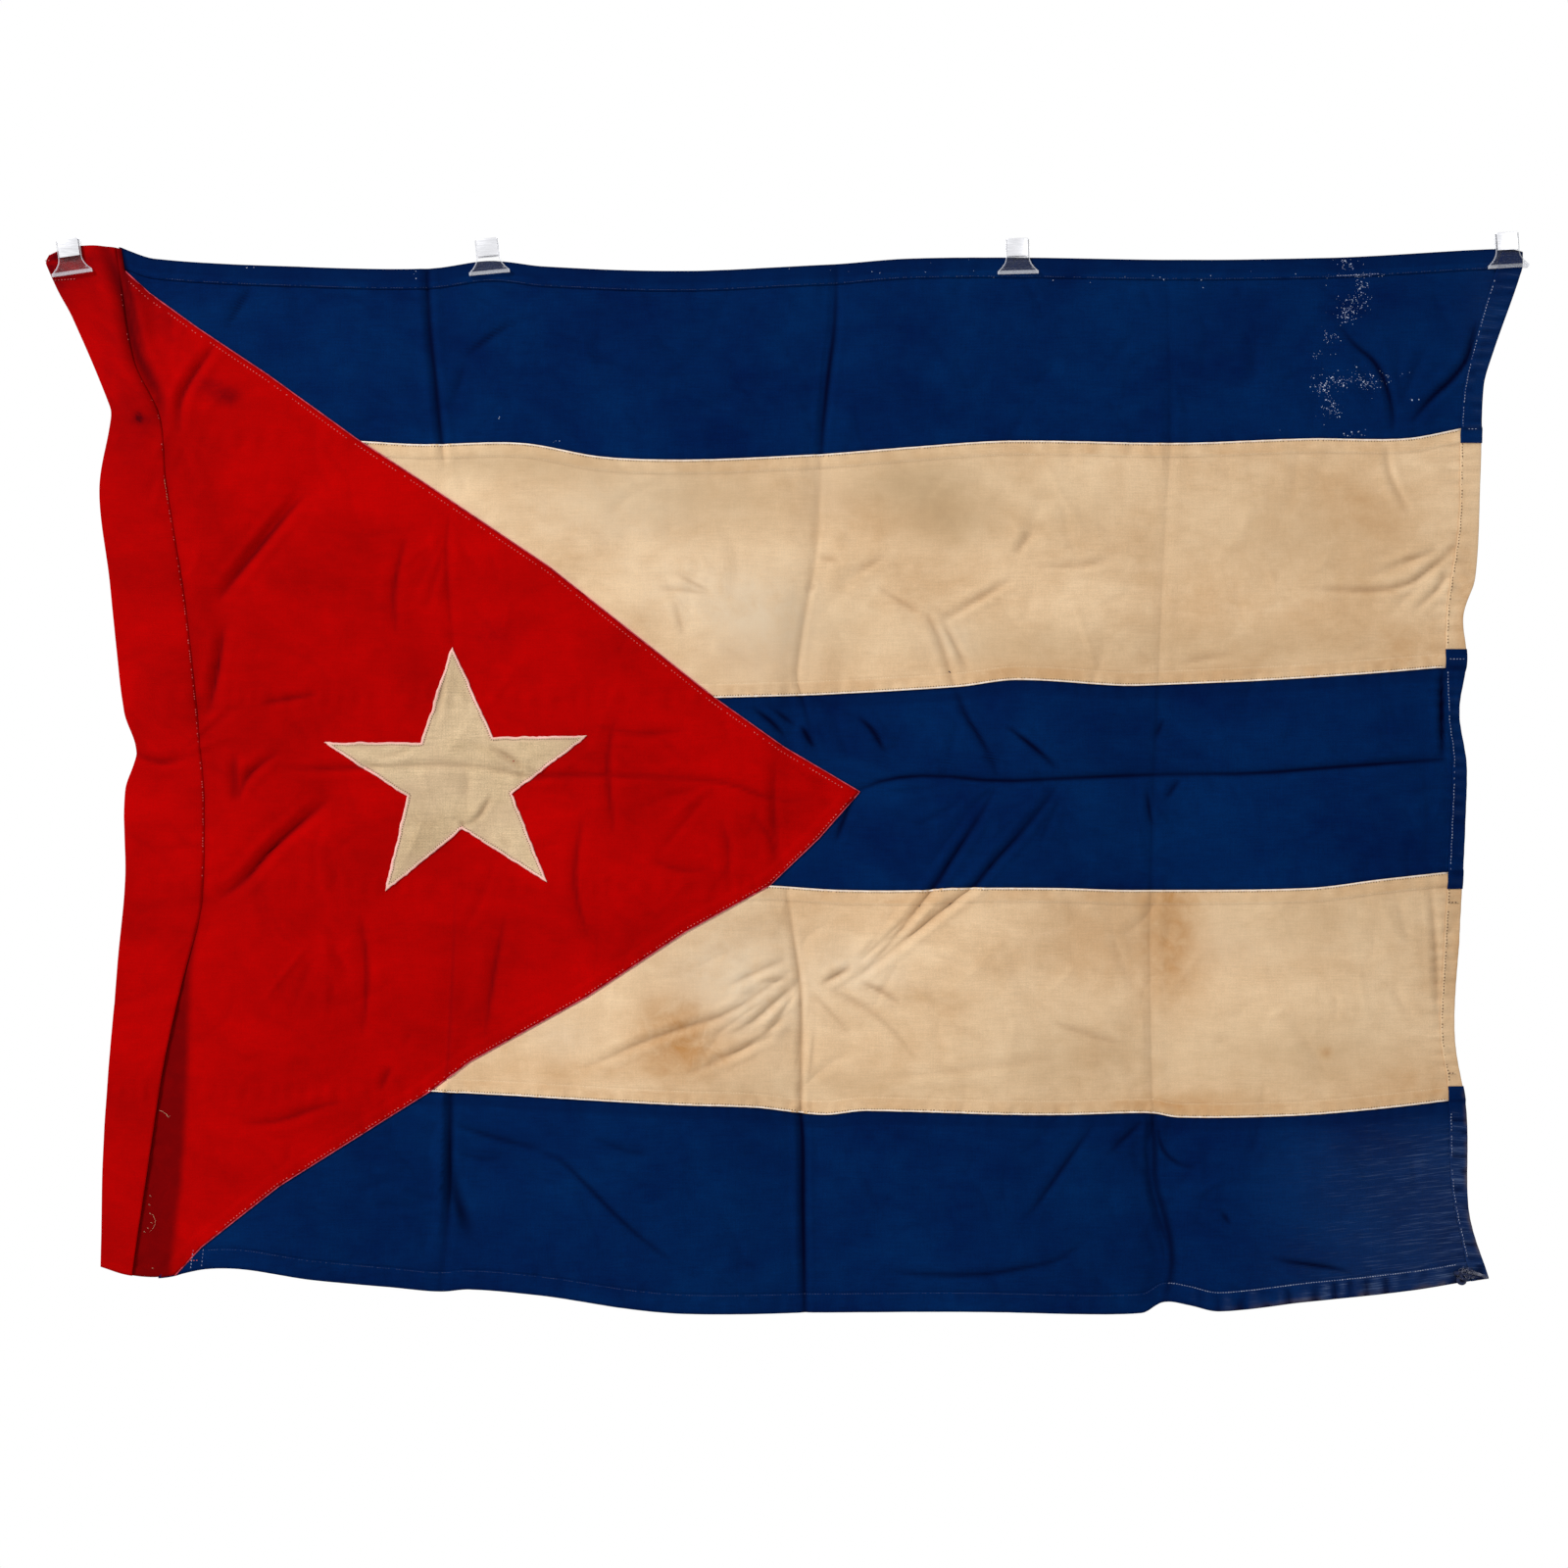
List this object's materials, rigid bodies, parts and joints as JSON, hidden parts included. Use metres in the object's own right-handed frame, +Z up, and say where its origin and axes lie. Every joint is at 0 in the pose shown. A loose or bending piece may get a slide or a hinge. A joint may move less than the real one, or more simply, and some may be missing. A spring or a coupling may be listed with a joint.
{
  "type": "flag hung from spring clips",
  "caption": "Old sewn cotton flag, striped, with a star on a hoist triangle, hanging open and creased from clear spring clips along its top edge.",
  "frame": {"origin": "middle of the flag's top edge, level with the line on which the clips hold it", "axes": "+X from the hoist sleeve to the fly, +Y away from the shown face, +Z up"},
  "size_m": [1.3329, 0.021, 0.9699],
  "materials": {
    "red_cotton": "plain weave cotton, matt, worn",
    "blue_cotton": "plain weave cotton, matt, faded in patches",
    "cream_cotton": "plain weave cotton, yellowed white, lightly stained",
    "star_cotton": "plain weave cotton, yellowed white, frayed edge",
    "clear_plastic": "clear moulded plastic",
    "spring_steel": "bright strip steel"
  },
  "bodies": {
    "root": {"top_blue_stripe": "blue_cotton", "upper_white_stripe": "cream_cotton", "middle_blue_stripe": "blue_cotton", "lower_white_stripe": "cream_cotton", "bottom_blue_stripe": "blue_cotton", "hoist_triangle": "red_cotton", "star": "star_cotton", "clip_1_front_jaw": "clear_plastic", "clip_1_back_jaw": "clear_plastic", "clip_1_spring": "spring_steel", "clip_2_front_jaw": "clear_plastic", "clip_2_back_jaw": "clear_plastic", "clip_2_spring": "spring_steel", "clip_3_front_jaw": "clear_plastic", "clip_3_back_jaw": "clear_plastic", "clip_3_spring": "spring_steel", "clip_4_front_jaw": "clear_plastic", "clip_4_back_jaw": "clear_plastic", "clip_4_spring": "spring_steel"}
  },
  "joints": []
}
